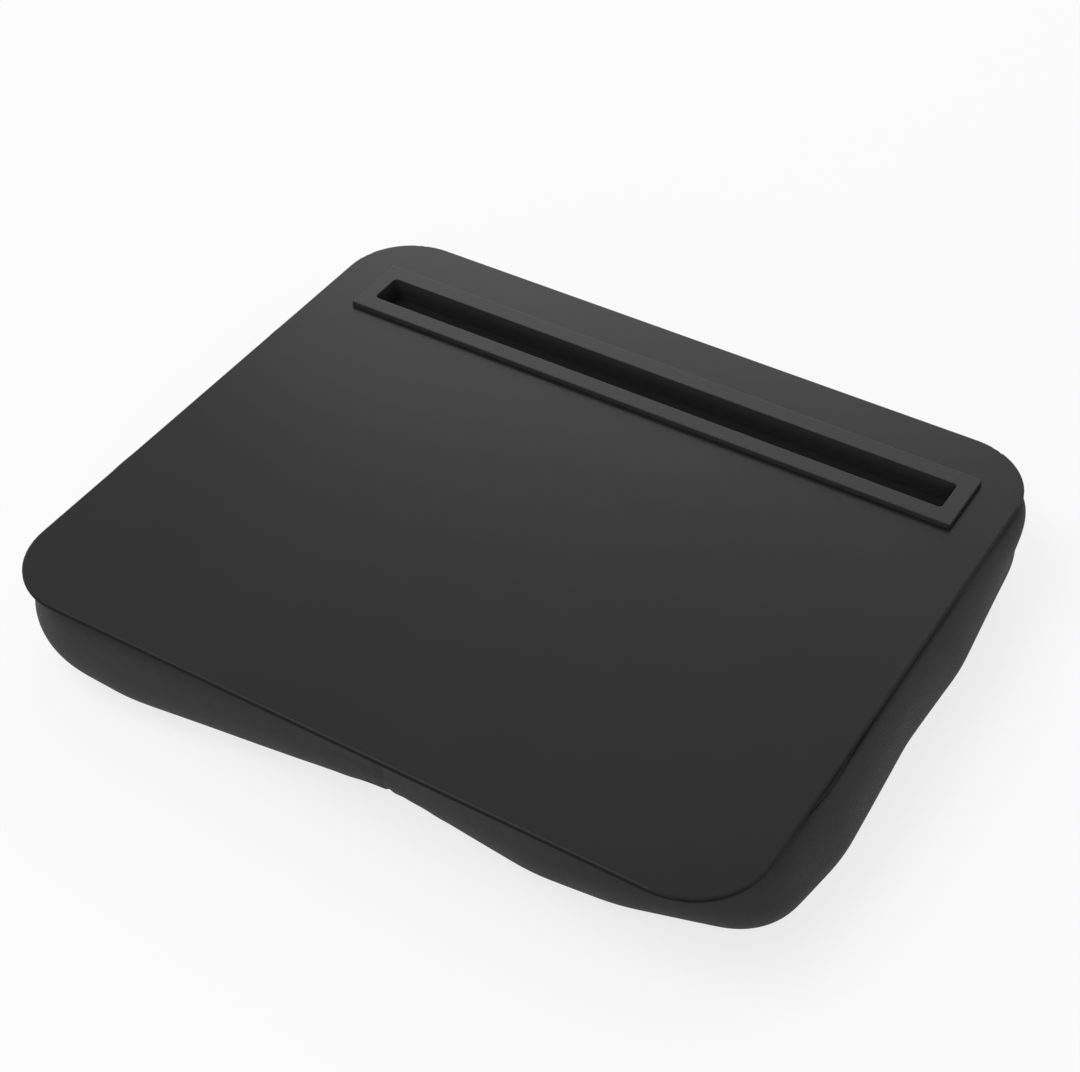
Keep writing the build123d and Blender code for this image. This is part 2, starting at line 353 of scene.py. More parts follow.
def cover_surface():
    """The CAD cover's own surface, to cast rays at."""
    points, faces = [], []
    for name in COVERS:
        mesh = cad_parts[name].data
        start = len(points)
        points += [vertex.co.copy() for vertex in mesh.vertices]
        faces += [[start + index for index in polygon.vertices] for polygon in mesh.polygons]
    return BVHTree.FromPolygons(points, faces)


def mid_outline(surface):
    """Plan of the pillow at its fullest, in even steps, starting at the front seam."""
    reach = 0.4
    points = []
    for step in range(OUTLINE_RAYS):
        turn = 2 * math.pi * step / OUTLINE_RAYS - math.pi / 2
        ray = Vector((math.cos(turn), math.sin(turn), 0))
        hit = surface.ray_cast(ray * reach + Vector((0, 0, ROLL_RADIUS)), -ray)[0]
        points.append((hit.x, hit.y))
    points = np.array(points)
    front = np.arange(len(points))[points[:, 1] < -0.1]
    first = front[np.argmin(np.abs(points[front, 0] - SEAM_X))]
    points = np.roll(points, -first, axis=0)
    loop = np.vstack([points, points[:1]])
    length = np.concatenate([[0], np.cumsum(np.linalg.norm(np.diff(loop, axis=0), axis=1))])
    return loop, length


def smooth_ring(values, passes):
    """Evens out a closed ring of points."""
    for _ in range(passes):
        values = 0.5 * values + 0.25 * (np.roll(values, 1, axis=0) + np.roll(values, -1, axis=0))
    return values


def along_steps(total, step, close):
    """Places along a closed seam-to-seam strip, with extra ones beside the seam at each end."""
    count = int((total - 2 * close[-1]) / step)
    middle = np.linspace(close[-1], total - close[-1], count)
    return np.concatenate([[0], close[:-1], middle, total - np.array(close[:-1])[::-1]])


def roll_angles(step):
    """Angles round the pillow's side, from straight down to straight up, close at the seams."""
    low = math.asin((BOTTOM_SEAM_Z - ROLL_RADIUS) / ROLL_RADIUS)
    high = math.asin(min((TOP_SEAM_Z - ROLL_RADIUS) / ROLL_RADIUS, 0.99))
    near = 0.8 * MM / ROLL_RADIUS
    far = 2.2 * MM / ROLL_RADIUS
    marks = [-math.pi / 2, low - far, low - near, low, low + near, low + far]
    marks += [high - far, high - near, high, high + near, high + far, math.pi / 2]
    angles = []
    for first, last in zip(marks, marks[1:]):
        count = max(1, round((last - first) * ROLL_RADIUS / step))
        angles += list(np.linspace(first, last, count, endpoint=False))
    angles.append(marks[-1])
    return np.array(angles), low, high


def ease(value):
    value = np.clip(value, 0, 1)
    return value * value * (3 - 2 * value)


def box_distance(x, y, centre_y, half_length, half_width):
    """Distance outside a rectangle in plan; negative inside."""
    across = np.abs(x) - half_length
    deep = np.abs(y - centre_y) - half_width
    outside = np.hypot(np.maximum(across, 0), np.maximum(deep, 0))
    return outside + np.minimum(np.maximum(across, deep), 0)


def top_height(x, y):
    """Height of the top of the cushion: soft hollows under the trough and the zip."""
    trench = box_distance(x, y, TROUGH_Y, TROUGH_HALF_LENGTH, TROUGH_HALF_WIDTH)
    valley = box_distance(x, y, ZIP_Y, SLIT_HALF_LENGTH + VALLEY_END_MARGIN, VALLEY_HALF_WIDTH)
    sunk = (CUSHION_TOP - TRENCH_FLOOR) * (1 - ease((trench - TRENCH_CLEARANCE) / TRENCH_SLOPE))
    zip_sunk = (CUSHION_TOP - VALLEY_FLOOR) * (1 - ease(valley / VALLEY_SLOPE))
    return CUSHION_TOP - np.maximum(sunk, zip_sunk)


def under_strips(points):
    """Holds the swollen top down where the loop strips are sewn on."""
    near = np.full(len(points), 1.0)
    for side in ("front", "rear", "left", "right"):
        low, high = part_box(f"loop_strip_{side}")
        middle, half = (low + high) / 2, (high - low) / 2
        away = box_distance(points[:, 0] - middle.x, points[:, 1], middle.y, half.x, half.y)
        near = np.minimum(near, away)
    most = CUSHION_TOP + (RIM_TOP - CUSHION_TOP) * ease((near - 0.5 * MM) / STRIP_SINK)
    return np.where(points[:, 2] > ROLL_RADIUS, np.minimum(points[:, 2], most), points[:, 2])


def cast_sides(surface, loop, length, places, angles):
    """Points of the pillow's rolled sides: one row for each angle, one column for each place."""
    reach = 0.06
    x = np.interp(places, length, loop[:, 0])
    y = np.interp(places, length, loop[:, 1])
    outline = np.stack([x, y], axis=1)
    ahead = np.roll(outline, -3, axis=0) - np.roll(outline, 3, axis=0)
    outward = np.stack([ahead[:, 1], -ahead[:, 0]], axis=1)
    outward /= np.linalg.norm(outward, axis=1)[:, None]
    outward = smooth_ring(outward, 6)
    core = outline - outward * ROLL_RADIUS
    rows = []
    for angle in angles:
        row = []
        for (cx, cy), (nx, ny) in zip(core, outward):
            ray = Vector((nx * math.cos(angle), ny * math.cos(angle), math.sin(angle))).normalized()
            centre = Vector((cx, cy, ROLL_RADIUS))
            hit = surface.ray_cast(centre + ray * reach, -ray, reach)[0]
            row.append(hit if hit is not None else centre + ray * ROLL_RADIUS)
        rows.append(row)
    return np.array([[tuple(point) for point in row] for row in rows]), core


def shoulder(angles):
    """How far the stuffing pushes the skin out, between its waist and the board above it."""
    share = np.clip((angles - math.radians(SHOULDER_START)) / math.radians(SHOULDER_SPAN), 0, 1)
    return SHOULDER * np.sin(math.pi * share**1.3) ** 1.2


def push_corner(grid, angles):
    """Fills out the cushion's back right corner, where it stands out past the board."""
    near = np.exp(-((np.hypot(grid[..., 0] - CORNER_X, grid[..., 1] - CORNER_Y) / CORNER_SPREAD) ** 2))
    start, full, falling, end = np.radians(CORNER_TURNS)
    lift = ease((angles - start) / (full - start))
    fall = 1 - CORNER_FALL * ease((angles - falling) / (end - falling))
    amount = CORNER_PUSH * lift * fall
    grid[..., 0] += near * amount[:, None] * CORNER_AIM[0]
    grid[..., 1] += near * amount[:, None] * CORNER_AIM[1]


def even_out(grid, passes):
    """Takes the CAD facets out of the rolled sides."""
    for _ in range(passes):
        grid = 0.5 * grid + 0.25 * (np.roll(grid, 1, axis=1) + np.roll(grid, -1, axis=1))
        inner = 0.5 * grid[1:-1] + 0.25 * (grid[:-2] + grid[2:])
        grid = np.concatenate([grid[:1], inner, grid[-1:]])
    return grid


def ring_faces(rows, columns):
    """Quads of a closed grid, row after row, wound to face outwards."""
    faces = []
    for row in range(rows - 1):
        for column in range(columns):
            beside = (column + 1) % columns
            low, high = row * columns, (row + 1) * columns
            faces.append((low + column, low + beside, high + beside, high + column))
    return faces


def bottom_cap(rim, rings=14):
    """Points and faces that close the flat bottom, inside the lowest ring (its first points)."""
    count = len(rim)
    centre = rim.mean(axis=0)
    points, faces, before = [], [], list(range(count))
    for ring in range(1, rings):
        share = 1 - ring / rings
        now = [count + len(points) + index for index in range(count)]
        points += [tuple(centre + (point - centre) * share) for point in rim]
        for index in range(count):
            beside = (index + 1) % count
            faces.append((before[index], now[index], now[beside], before[beside]))
        before = now
    middle = count + len(points)
    points.append(tuple(centre))
    faces += [(before[index], middle, before[(index + 1) % count]) for index in range(count)]
    return points, faces


def top_cap(rim, step):
    """Points and triangles that close the top, inside its rim (its first points)."""
    count = len(rim)
    inside = [Vector(point[:2]) for point in rim]
    low, high = rim.min(axis=0), rim.max(axis=0)
    lines_x = list(np.arange(low[0], high[0], step))
    lines_y = list(np.arange(low[1], high[1], step))
    near = np.array([-1.2, 0, 1.2, 2.4, 3.6, 4.8, 6.2]) * MM
    for side in (-1, 1):
        lines_x += list(side * (TROUGH_HALF_LENGTH + near))
        lines_y += list(TROUGH_Y + side * (TROUGH_HALF_WIDTH + near))
        lines_y += list(ZIP_Y + side * (VALLEY_HALF_WIDTH + near))
        lines_y += [ZIP_Y + side * SLIT_HALF_WIDTH]
        lines_x += list(side * (SLIT_HALF_LENGTH + VALLEY_END_MARGIN + near))
        lines_x += [side * SLIT_HALF_LENGTH]
    lines_y.append(ZIP_Y)
    lines_x = thin_out(lines_x, 0.9 * MM)
    lines_y = thin_out(lines_y, 0.9 * MM)
    ring = np.array([tuple(point) for point in inside])
    for x in lines_x:
        for y in lines_y:
            if np.min(np.hypot(ring[:, 0] - x, ring[:, 1] - y)) > 0.6 * step and in_ring(ring, x, y):
                inside.append(Vector((x, y)))
    edges = [(index, (index + 1) % count) for index in range(count)]
    made, _, faces, source, _, _ = delaunay_2d_cdt(inside, edges, [], 1, 1e-7)
    if len(made) != len(inside):
        raise ValueError("the top's outline crosses itself")
    order = [origin[0] for origin in source]
    points = [tuple(inside[index]) for index in range(count, len(inside))]
    return points, [tuple(order[index] for index in face) for face in faces]


def thin_out(lines, least):
    """Sorted values with those closer than the least step left out."""
    kept = []
    for value in sorted(lines):
        if not kept or value - kept[-1] > least:
            kept.append(value)
    return kept


def in_ring(ring, x, y):
    """Whether a point lies inside a closed outline."""
    first, second = ring, np.roll(ring, -1, axis=0)
    crosses = (first[:, 1] > y) != (second[:, 1] > y)
    rise = np.where(crosses, second[:, 1] - first[:, 1], 1.0)
    where = first[:, 0] + (y - first[:, 1]) / rise * (second[:, 0] - first[:, 0])
    return bool(np.count_nonzero(crosses & (x < where)) % 2)


class Cushion:
    """The whole skin as one mesh, with the panel that each face belongs to."""

    def __init__(self, step, angle_step, cap_step):
        surface = cover_surface()
        loop, length = mid_outline(surface)
        self.total = length[-1]
        self.places = along_steps(self.total, step, SEAM_STEPS)
        self.angles, self.low, self.high = roll_angles(angle_step)
        grid, core = cast_sides(surface, loop, length, self.places, self.angles)
        grid = even_out(grid, 4)
        centre = np.concatenate([core, np.full((len(core), 1), ROLL_RADIUS)], axis=1)
        outward = grid - centre[None]
        outward /= np.linalg.norm(outward, axis=2)[:, :, None]
        grid += outward * shoulder(self.angles)[:, None, None]
        push_corner(grid, self.angles)
        grid[0, :, 2] = 0.0
        grid[:, :, 2] = np.minimum(grid[:, :, 2], RIM_TOP)
        grid[-1, :, 2] = RIM_TOP
        rows, columns = grid.shape[:2]
        self.rows, self.columns = rows, columns
        points = grid.reshape(-1, 3)
        faces = ring_faces(rows, columns)
        panel = []
        for row in range(rows - 1):
            middle = (self.angles[row] + self.angles[row + 1]) / 2
            name = "bottom" if middle < self.low else "band" if middle < self.high else "top"
            panel += [name] * columns
        cap_points, cap_faces = bottom_cap(grid[0])
        start = len(points)
        shift = start - columns
        faces += [tuple(i if i < columns else i + shift for i in face) for face in cap_faces]
        panel += ["bottom"] * len(cap_faces)
        points = np.vstack([points, cap_points])
        lid_points, lid_faces = top_cap(grid[-1], cap_step)
        lid_start = len(points)
        rim_start = (rows - 1) * columns
        faces += [
            tuple(rim_start + i if i < columns else lid_start + i - columns for i in face)
            for face in lid_faces
        ]
        panel += ["top"] * len(lid_faces)
        lid = np.array([(x, y, CUSHION_TOP) for x, y in lid_points])
        self.points = np.vstack([points, lid])
        self.faces = faces
        self.panel = np.array(panel)
        rim = grid[-1, :, :2]
        lid_plan = self.points[lid_start:, :2]
        near = np.array([np.min(np.hypot(*(rim - point).T)) for point in lid_plan])
        swell = (RIM_TOP - CUSHION_TOP) * (1 - ease(near / RIM_WIDTH))
        self.points[lid_start:, 2] = top_height(lid_plan[:, 0], lid_plan[:, 1]) + swell
        self.points[:, 2] = under_strips(self.points)

    def side_count(self):
        return self.rows * self.columns


def mesh_from(name, points, faces):
    mesh = bpy.data.meshes.new(name)
    mesh.from_pydata([tuple(point) for point in points], [], [tuple(face) for face in faces])
    mesh.update()
    return mesh


def new_object(name, mesh):
    made = bpy.data.objects.new(name, mesh)
    bpy.context.scene.collection.objects.link(made)
    return made


def read_points(mesh):
    values = np.zeros(len(mesh.vertices) * 3)
    mesh.vertices.foreach_get("co", values)
    return values.reshape(-1, 3)


def read_normals(mesh):
    values = np.zeros(len(mesh.vertices) * 3, np.float32)
    mesh.vertices.foreach_get("normal", values)
    return values.reshape(-1, 3).astype(float)


def stuff(cushion):
    """Cloth simulation: the skin fills out between its seams, which hold it."""
    start = cushion.points.copy()
    mesh = mesh_from("stuffing", start, cushion.faces)
    skin = new_object("stuffing", mesh)
    held = np.zeros(len(start))
    side = cushion.side_count()
    angle = np.repeat(cushion.angles, cushion.columns)
    seam = np.minimum(np.abs(angle - cushion.low), np.abs(angle - cushion.high))
    held[:side] = np.where(seam < SEAM_HOLD, 1.0, 0.0)
    held[:side][angle < cushion.low] = 1.0
    held[:side][angle > cushion.high] = 1.0
    held[side:] = 1.0
    group = skin.vertex_groups.new(name="held")
    for weight in (0.0, 1.0):
        group.add(np.nonzero(held == weight)[0].tolist(), float(weight), "REPLACE")
    cloth = skin.modifiers.new("cloth", "CLOTH")
    cloth.settings.vertex_group_mass = "held"
    cloth.settings.quality = 5
    cloth.settings.mass = 0.2
    cloth.settings.tension_stiffness = 12
    cloth.settings.compression_stiffness = 12
    cloth.settings.bending_stiffness = 4
    cloth.settings.use_pressure = True
    cloth.settings.uniform_pressure_force = STUFFING_PRESSURE
    cloth.settings.effector_weights.gravity = 0
    cloth.collision_settings.use_collision = False
    scene = bpy.context.scene
    for number in range(1, STUFFING_FRAMES + 1):
        scene.frame_set(number)
    shown = skin.evaluated_get(bpy.context.evaluated_depsgraph_get())
    after = read_points(shown.data)
    scene.frame_set(1)
    bpy.data.objects.remove(skin)
    move = after - start
    size = np.linalg.norm(move, axis=1)
    move *= np.minimum(1.0, STUFFING_MOST / np.maximum(size, 1e-9))[:, None]
    around = move[:side].reshape(cushion.rows, cushion.columns, 3)
    even = around.copy()
    for _ in range(STUFFING_PASSES):
        even = 0.5 * even + 0.25 * (np.roll(even, 1, axis=1) + np.roll(even, -1, axis=1))
    move[:side] = (even + KEPT_FOLDS * (around - even)).reshape(-1, 3)
    cushion.points = start + move
    cushion.points[:, 2] = np.clip(cushion.points[:, 2], 0, RIM_TOP)


def ripple(point, scale, seed):
    return noise.noise(Vector(point) * scale + Vector((seed, 2 * seed, -seed)))


def crease(cushion):
    """Small folds in the skin: seam grooves, puckers beside them, and slack hollows."""
    mesh = mesh_from("crease", cushion.points, cushion.faces)
    normals = read_normals(mesh)
    bpy.data.meshes.remove(mesh)
    side = cushion.side_count()
    place = np.tile(cushion.places, cushion.rows)
    angle = np.repeat(cushion.angles, cushion.columns)
    from_upright = np.minimum(place, cushion.total - place)
    from_low = (angle - cushion.low) * ROLL_RADIUS
    from_high = (angle - cushion.high) * ROLL_RADIUS
    on_band = (angle >= cushion.low) & (angle <= cushion.high)
    groove = LOW_GROOVE * np.exp(-((from_low / GROOVE_WIDTH) ** 2))
    groove += HIGH_GROOVE * np.exp(-((from_high / GROOVE_WIDTH) ** 2))
    upright = UPRIGHT_GROOVE * np.exp(-((from_upright / UPRIGHT_GROOVE_WIDTH) ** 2))
    groove += np.where(on_band, upright, 0)
    depth = np.zeros(len(cushion.points))
    depth[:side] = groove
    for index in range(side):
        where = Vector((place[index], angle[index] * ROLL_RADIUS, 0))
        pucker = ripple((where.x, where.y * 0.25, 0), 110, 3.1)
        near_high = math.exp(-abs(from_high[index]) / (6 * MM))
        near_low = math.exp(-abs(from_low[index]) / (5 * MM))
        fold = ripple((where.x * 0.6, where.y, 0), 34, 7.7)
        fan = ripple((where.x, where.y * 1.6, 0), 95, 5.3)
        near_upright = math.exp(-((from_upright[index] / FAN_WIDTH) ** 2))
        depth[index] += PUCKER * pucker * (near_high + 0.7 * near_low)
        depth[index] += FOLD * fold + FAN * fan * near_upright
    cushion.points = cushion.points - normals * depth[:, None]
    cushion.points[:, 2] = np.clip(cushion.points[:, 2], 0.0, RIM_TOP)
    cushion.points[:, 2] = under_strips(cushion.points)


def panel_piece(cushion, name, chosen, cloth_map, material, nodes):
    """One sewn panel of the cover, with its thickness and its own cloth map."""
    faces = [cushion.faces[index] for index in np.nonzero(chosen)[0]]
    used = sorted({index for face in faces for index in face})
    renumber = {old: new for new, old in enumerate(used)}
    mesh = mesh_from(name, cushion.points[used], [[renumber[i] for i in face] for face in faces])
    layer = mesh.uv_layers.new(name=CLOTH_MAP)
    flat = np.array([cloth_map(index, face) for face in faces for index in face], np.float32)
    layer.data.foreach_set("uv", flat.ravel())
    mesh.shade_smooth()
    piece = new_object(name, mesh)
    solidify = piece.modifiers.new("thickness", "SOLIDIFY")
    solidify.thickness = COVER_FABRIC
    solidify.offset = -1
    mesh.materials.append(material)
    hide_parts(*nodes)
    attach(piece, "cushion")
    return piece


def shrunken(cushion, depth):
    """The skin drawn in by a depth, to lie under the cover."""
    mesh = mesh_from("shrunken", cushion.points, cushion.faces)
    points = cushion.points - read_normals(mesh) * depth
    bpy.data.meshes.remove(mesh)
    return points


def inner_piece(name, points, faces, material, node):
    """A piece of the filling: part of a shrunken skin, named for the CAD node it stands for."""
    used = sorted({index for face in faces for index in face})
    renumber = {old: new for new, old in enumerate(used)}
    mesh = mesh_from(name, points[used], [[renumber[i] for i in face] for face in faces])
    mesh.shade_smooth()
    mesh.materials.append(material)
    piece = new_object(name, mesh)
    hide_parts(node)
    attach(piece, "cushion")
    return piece


def make_filling(bag_material, bead_material):
    """The two halves of the bag of beads, and the mass of beads in it."""
    core = Cushion(step=5 * MM, angle_step=3.5 * MM, cap_step=8 * MM)
    bag = shrunken(core, BAG_DEPTH)
    high = [bag[list(face), 2].mean() > ROLL_RADIUS for face in core.faces]
    for name, wanted in (("bag_bottom", False), ("bag_top", True)):
        faces = [face for face, is_high in zip(core.faces, high) if is_high == wanted]
        piece = inner_piece(name, bag, faces, bag_material, "bead_" + name)
        solidify = piece.modifiers.new("thickness", "SOLIDIFY")
        solidify.thickness = BAG_FABRIC
        solidify.offset = -1
    beads = inner_piece(
        "bead_mass", shrunken(core, BEAD_DEPTH), core.faces, bead_material, "bead_fill"
    )


def make_cover(cushion, material):
    """The four sewn panels."""
    columns = cushion.columns
    side = cushion.side_count()
    centre = np.array([cushion.points[list(face)].mean(axis=0) for face in cushion.faces])
    in_slit = (np.abs(centre[:, 0]) < SLIT_HALF_LENGTH) & (
        np.abs(centre[:, 1] - ZIP_Y) < SLIT_HALF_WIDTH
    )
    on_lid = np.array([min(face) >= side - columns for face in cushion.faces])

    def plan(index, face):
        return cushion.points[index][:2]

    def wrap(index, face):
        place = cushion.places[index % columns]
        seam_face = any(other % columns == columns - 1 for other in face)
        if index % columns == 0 and seam_face:
            place = cushion.total
        return place, cushion.angles[index // columns] * ROLL_RADIUS

    top = (cushion.panel == "top") & ~(in_slit & on_lid)
    front, rear = top & (centre[:, 1] < ZIP_Y), top & (centre[:, 1] >= ZIP_Y)
    bottom, band = cushion.panel == "bottom", cushion.panel == "band"
    panel_piece(cushion, "bottom_panel", bottom, plan, material, [COVERS[0]])
    panel_piece(cushion, "side_band", band, wrap, material, [COVERS[1]])
    panel_piece(cushion, "top_panel_front", front, plan, material, [COVERS[2]])
    panel_piece(cushion, "top_panel_rear", rear, plan, material, [COVERS[3]])


# --- tapes and strips ---


class Band:
    """A flat strip of tape as points and faces, with its stitches."""

    def __init__(self, low, high, corner, step):
        self.low, self.high = low, high
        self.points, self.faces = [], []
        length, width = high.x - low.x, high.y - low.y
        self.columns = max(2, round(length / step)) + 1
        self.rows = max(2, round(width / step)) + 1
        middle = (low + high) / 2
        for z in (low.z, high.z):
            for row in range(self.rows):
                y = width * (row / (self.rows - 1) - 0.5)
                past = max(0.0, abs(y) - width / 2 + corner)
                half = length / 2 - corner + math.sqrt(max(0.0, corner**2 - past**2))
                for column in range(self.columns):
                    x = half * (2 * column / (self.columns - 1) - 1)
                    self.points.append([middle.x + x, middle.y + y, z])
        upper = self.rows * self.columns
        for row in range(self.rows - 1):
            for column in range(self.columns - 1):
                first = row * self.columns + column
                quad = (first, first + 1, first + 1 + self.columns, first + self.columns)
                self.faces.append(tuple(reversed(quad)))
                self.faces.append(tuple(upper + index for index in quad))
        across, deep = range(self.columns), range(self.rows)
        rim = list(across)
        rim += [row * self.columns + self.columns - 1 for row in deep[1:]]
        rim += [(self.rows - 1) * self.columns + column for column in reversed(across[:-1])]
        rim += [row * self.columns for row in reversed(deep[1:-1])]
        for first, second in zip(rim, rim[1:] + rim[:1]):
            self.faces.append((first, second, upper + second, upper + first))

    def roughen(self, top, depth, ribs, groove_inset, seed):
        """Sinks the chosen face by ribs, unevenness and the groove that the stitches draw."""
        start = self.rows * self.columns if top else 0
        way = -1 if top else 1
        for point in self.points[start : start + self.rows * self.columns]:
            inset = min(
                point[0] - self.low.x,
                self.high.x - point[0],
                point[1] - self.low.y,
                self.high.y - point[1],
            )
            sunk = depth * (0.5 + 0.5 * ripple(point, 900, seed))
            sunk += depth * 0.5 * (1 + math.sin(2 * math.pi * point[1] / ribs))
            if groove_inset:
                sunk += 1.2 * depth * math.exp(-(((inset - groove_inset) / (0.9 * MM)) ** 2))
            sunk += depth * math.exp(-((inset / (0.7 * MM)) ** 2))
            point[2] += way * min(sunk, 0.42 * (self.high.z - self.low.z))

    def stitch(self, start, end, z, pitch=3.1 * MM, radius=0.24 * MM):
        """A row of short thread stitches between two places on the face."""
        run = end - start
        count = max(1, int(run.length / pitch))
        along = run.normalized()
        side = Vector((-along.y, along.x))
        for number in range(count):
            middle = start + run * ((number + 0.5) / count)
            base = len(self.points)
            rings = ((-0.5, 0.25, -0.1), (-0.3, 0.9, 0.0), (0.3, 0.9, 0.0), (0.5, 0.25, -0.1))
            for share, swell, drop in rings:
                for corner in range(6):
                    turn = 2 * math.pi * corner / 6
                    place = middle + along * (share * 0.78 * pitch)
                    place += side * (radius * swell * math.cos(turn))
                    height = z + radius * swell * math.sin(turn) + drop * MM
                    self.points.append([place.x, place.y, height])
            for ring in range(len(rings) - 1):
                for corner in range(6):
                    beside = (corner + 1) % 6
                    low, high = base + 6 * ring, base + 6 * ring + 6
                    self.faces.append((low + corner, high + corner, high + beside, low + beside))
            last = base + 6 * (len(rings) - 1)
            self.faces.append(tuple(base + corner for corner in range(6)))
            self.faces.append(tuple(last + corner for corner in reversed(range(6))))

    def stitch_round(self, inset, z):
        """Stitches all round, the given distance inside the edge."""
        low, high = self.low.xy + Vector((inset, inset)), self.high.xy - Vector((inset, inset))
        marks = [low, Vector((high.x, low.y)), high, Vector((low.x, high.y))]
        for first, second in zip(marks, marks[1:] + marks[:1]):
            self.stitch(first, second, z)

    def piece(self, name, node, body, slot, material):
        mesh = mesh_from(name, self.points, self.faces)
        mesh.shade_smooth()
        mesh.set_sharp_from_angle(angle=math.radians(50))
        mesh.materials.append(material)
        piece = new_object(name, mesh)
        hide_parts(node)
        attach(piece, body)
        return piece


def make_strips(hook_material, loop_material):
    """Loop strips sewn to the cushion, and adhesive hook strips under the board."""
    for number, side in enumerate(("front", "rear", "left", "right")):
        low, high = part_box(f"loop_strip_{side}")
        loop = Band(low, high, STRIP_CORNER, 1.3 * MM)
        loop.roughen(True, 0.14 * MM, 2.6 * MM, 2.5 * MM, number)
        loop.stitch_round(2.5 * MM, high.z - 0.3 * MM)
        loop.piece(f"loop_tape_{side}", f"loop_strip_{side}", "cushion", "loop_tape", loop_material)
        low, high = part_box(f"hook_strip_{side}")
        hook = Band(low, high, STRIP_CORNER, 1.3 * MM)
        hook.roughen(False, 0.12 * MM, 1.9 * MM, 0, number + 10)
        hook.piece(
            f"hook_tape_{side}", f"hook_strip_{side}", "board_assembly", "hook_tape", hook_material
        )


def make_zip_tapes(material):
    """Woven tapes, each sewn to its panel with two rows of stitches."""
    for side, way in (("front", -1), ("rear", 1)):
        low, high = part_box(f"zip_tape_{side}")
        tape = Band(low, high, 0.3 * MM, 1.5 * MM)
        tape.roughen(True, 0.05 * MM, 2.2 * MM, 0, 21 + way)
        outer = low.y if way < 0 else high.y
        for inset in (2.0 * MM, 5.6 * MM):
            y = outer - way * inset
            start, end = Vector((low.x + MM, y)), Vector((high.x - MM, y))
            tape.stitch(start, end, high.z - 0.16 * MM)
        tape.piece(f"tape_{side}", f"zip_tape_{side}", "cushion", "zip_tape", material)


# --- carried-over pieces ---


def dress(materials):
    """Gives each carried-over CAD node its finish."""
    for node, material in materials.items():
        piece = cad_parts[node]
        piece.data.materials.clear()
        piece.data.materials.append(material)


def dress_all():
    board = plastic("board_plastic", grey(0.0105), grey(0.0115), 0.3, 0.012 * MM, 0.155)
    insert = plastic(
        "insert_plastic",
        grey(0.028),
        grey(0.031),
        0.32,
        0.01 * MM,
        specular=0.115,
        upright_painted_shade=0.75,
        painted_shade_from=INSERT_HIGH.z - 1.5 * MM,
        painted_shade_to=INSERT_LOW.z + 1.4 * MM,
    )
    teeth = plastic("zip_teeth_plastic", grey(0.016), grey(0.02), 0.35, 0.004 * MM)
    metal = plastic("zip_enamel", grey(0.02), grey(0.026), 0.3, 0.004 * MM)
    finishes = {
        "board": board,
        "slot_insert": insert,
        "zip_teeth_front": teeth,
        "zip_teeth_rear": teeth,
        "zip_stop_closed": metal,
        "zip_stop_open": metal,
        "zip_slider": metal,
    }
    dress(finishes)


# --- studio ---


def make_camera():
    back = Vector(
        (
            math.sin(CAMERA_AZIMUTH) * math.cos(CAMERA_ELEVATION),
            -math.cos(CAMERA_AZIMUTH) * math.cos(CAMERA_ELEVATION),
            math.sin(CAMERA_ELEVATION),
        )
    )
    level = (-back).cross(Vector((0, 0, 1))).normalized()
    upward = level.cross(-back)
    right = level * math.cos(CAMERA_ROLL) + upward * math.sin(CAMERA_ROLL)
    up = upward * math.cos(CAMERA_ROLL) - level * math.sin(CAMERA_ROLL)
    data = bpy.data.cameras.new("camera")
    data.sensor_width = SENSOR_WIDTH
    data.lens = SENSOR_WIDTH * FOCAL_PIXELS / PHOTO_WIDTH
    camera = new_object("camera", data)
    place = CAMERA_TARGET + back * CAMERA_DISTANCE
    axes = Matrix((right, up, back)).transposed().to_4x4()
    camera.matrix_world = Matrix.Translation(place) @ axes
    bpy.context.scene.camera = camera


def area_light(name, place, target, size, power):
    data = bpy.data.lights.new(name, "AREA")
    data.shape = "RECTANGLE"
    data.size, data.size_y = size
    data.energy = power
    light = new_object(name, data)
    light.location = place
    aim = Vector(target) - Vector(place)
    light.rotation_euler = aim.to_track_quat("-Z", "Y").to_euler()


def seen_directly(tree):
    """1 for camera, glossy and transmission rays, which see the plain white studio."""
    path = tree.nodes.new("ShaderNodeLightPath")
    total = path.outputs["Is Camera Ray"]
    for ray in ("Is Glossy Ray", "Is Transmission Ray"):
        either = tree.nodes.new("ShaderNodeMath")
        either.operation = "MAXIMUM"
        tree.links.new(total, either.inputs[0])
        tree.links.new(path.outputs[ray], either.inputs[1])
        total = either.outputs[0]
    return total


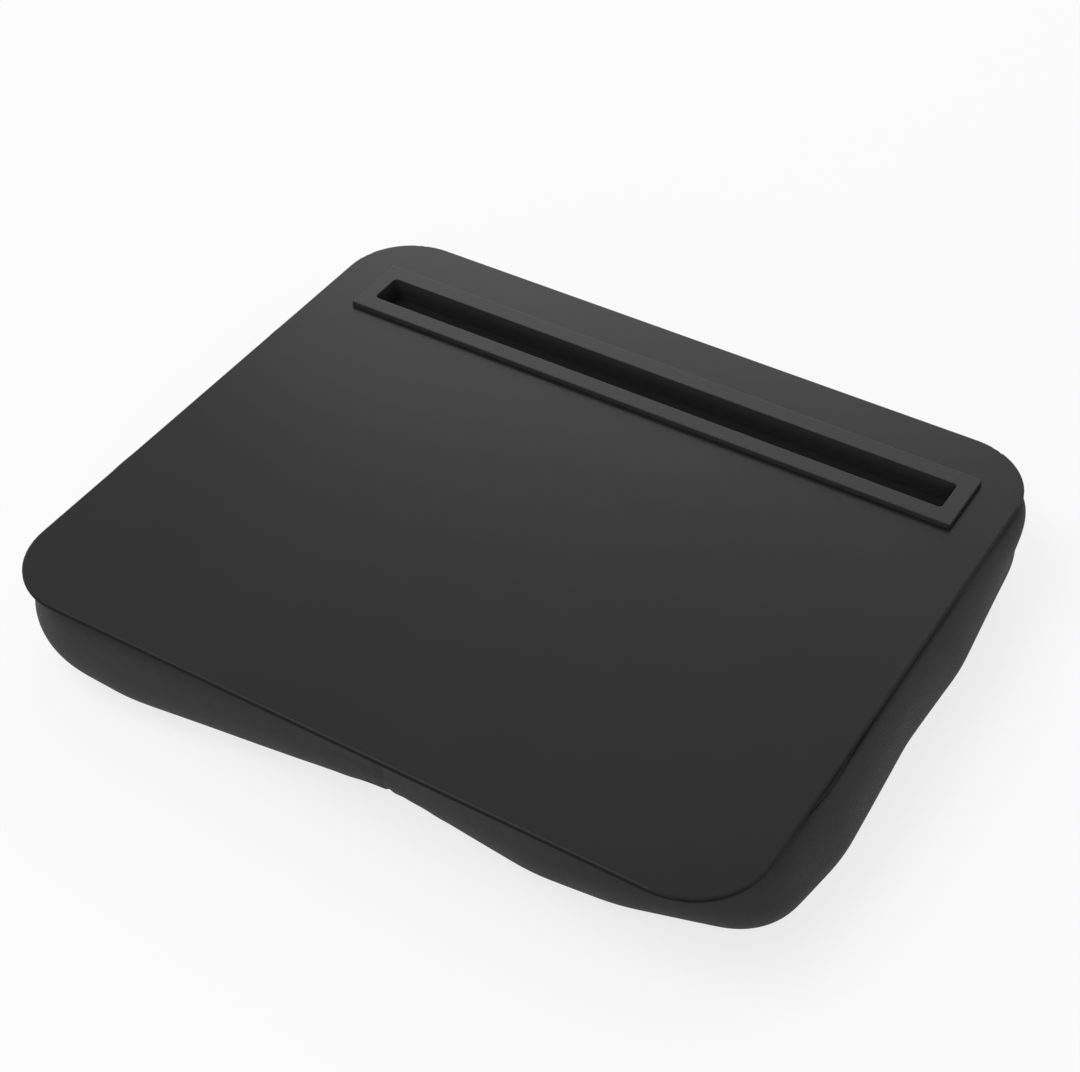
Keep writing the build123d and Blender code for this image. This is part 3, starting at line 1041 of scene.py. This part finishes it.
def make_floor():
    """White paper floor; most of its white is its own, so shadows on it stay light."""
    turns = ((-1, -1), (1, -1), (1, 1), (-1, 1))
    corners = [(x * FLOOR_REACH, y * FLOOR_REACH, -FLOOR_GAP) for x, y in turns]
    floor = new_object("floor", mesh_from("floor", corners, [(0, 1, 2, 3)]))
    shader = Shader("floor_paper")
    fibre = shader.noise(shader.place(), 900.0, 2.0)
    shader.set(
        Base_Color=shader.shade(fibre, (0.93, 0.93, 0.93), (0.95, 0.95, 0.95)),
        Roughness=0.9,
        Specular_IOR_Level=0.0,
    )
    white = shader.node("ShaderNodeEmission")
    mix = shader.node("ShaderNodeMixShader")
    share = shader.math("MULTIPLY", seen_directly(shader.tree), FLOOR_WHITE)
    shader.join(share, mix.inputs["Fac"])
    shader.join(shader.surface.outputs[0], mix.inputs[1])
    shader.join(white.outputs[0], mix.inputs[2])
    shader.join(mix.outputs[0], shader.tree.nodes["Material Output"].inputs["Surface"])
    floor.data.materials.append(shader.material)


def make_world():
    """Soft studio surround, a little dimmer as a light than as a backdrop."""
    world = bpy.data.worlds.new("studio")
    bpy.context.scene.world = world
    world.use_nodes = True
    tree = world.node_tree
    tree.nodes.clear()
    output = tree.nodes.new("ShaderNodeOutputWorld")
    mix = tree.nodes.new("ShaderNodeMixShader")
    light = tree.nodes.new("ShaderNodeBackground")
    shown = tree.nodes.new("ShaderNodeBackground")
    light.inputs["Color"].default_value = (1, 1, 1, 1)
    light.inputs["Strength"].default_value = WORLD_LIGHT
    shown.inputs["Color"].default_value = (1, 1, 1, 1)
    shown.inputs["Strength"].default_value = 1.0
    tree.links.new(seen_directly(tree), mix.inputs["Fac"])
    tree.links.new(light.outputs[0], mix.inputs[1])
    tree.links.new(shown.outputs[0], mix.inputs[2])
    tree.links.new(mix.outputs[0], output.inputs["Surface"])


make_camera()
make_world()
make_floor()
for name, lamp in LAMPS.items():
    area_light(name, *lamp)
bpy.context.scene.view_settings.view_transform = "Standard"

dress_all()
make_strips(
    pile("hook_pile", grey(0.012), grey(0.03), 0.9 * MM, 0.5 * MM, 0.6),
    pile("loop_pile", grey(0.02), grey(0.045), 0.6 * MM, 0.4 * MM),
)
make_zip_tapes(woven("zip_tape_weave", grey(0.014), grey(0.026), 0.8 * MM, 0.08 * MM))
make_filling(
    woven("bag_weave", grey(0.07), grey(0.1), 0.7 * MM, 0.06 * MM),
    pile("foam_beads", grey(0.6), grey(0.8), 3.2 * MM, 1.5 * MM, 0.6),
)
cover_knit = knit("cover_knit", grey(0.022), grey(0.029))
skin = Cushion(step=2.3 * MM, angle_step=1.6 * MM, cap_step=5 * MM)
stuff(skin)
crease(skin)
make_cover(skin, cover_knit)
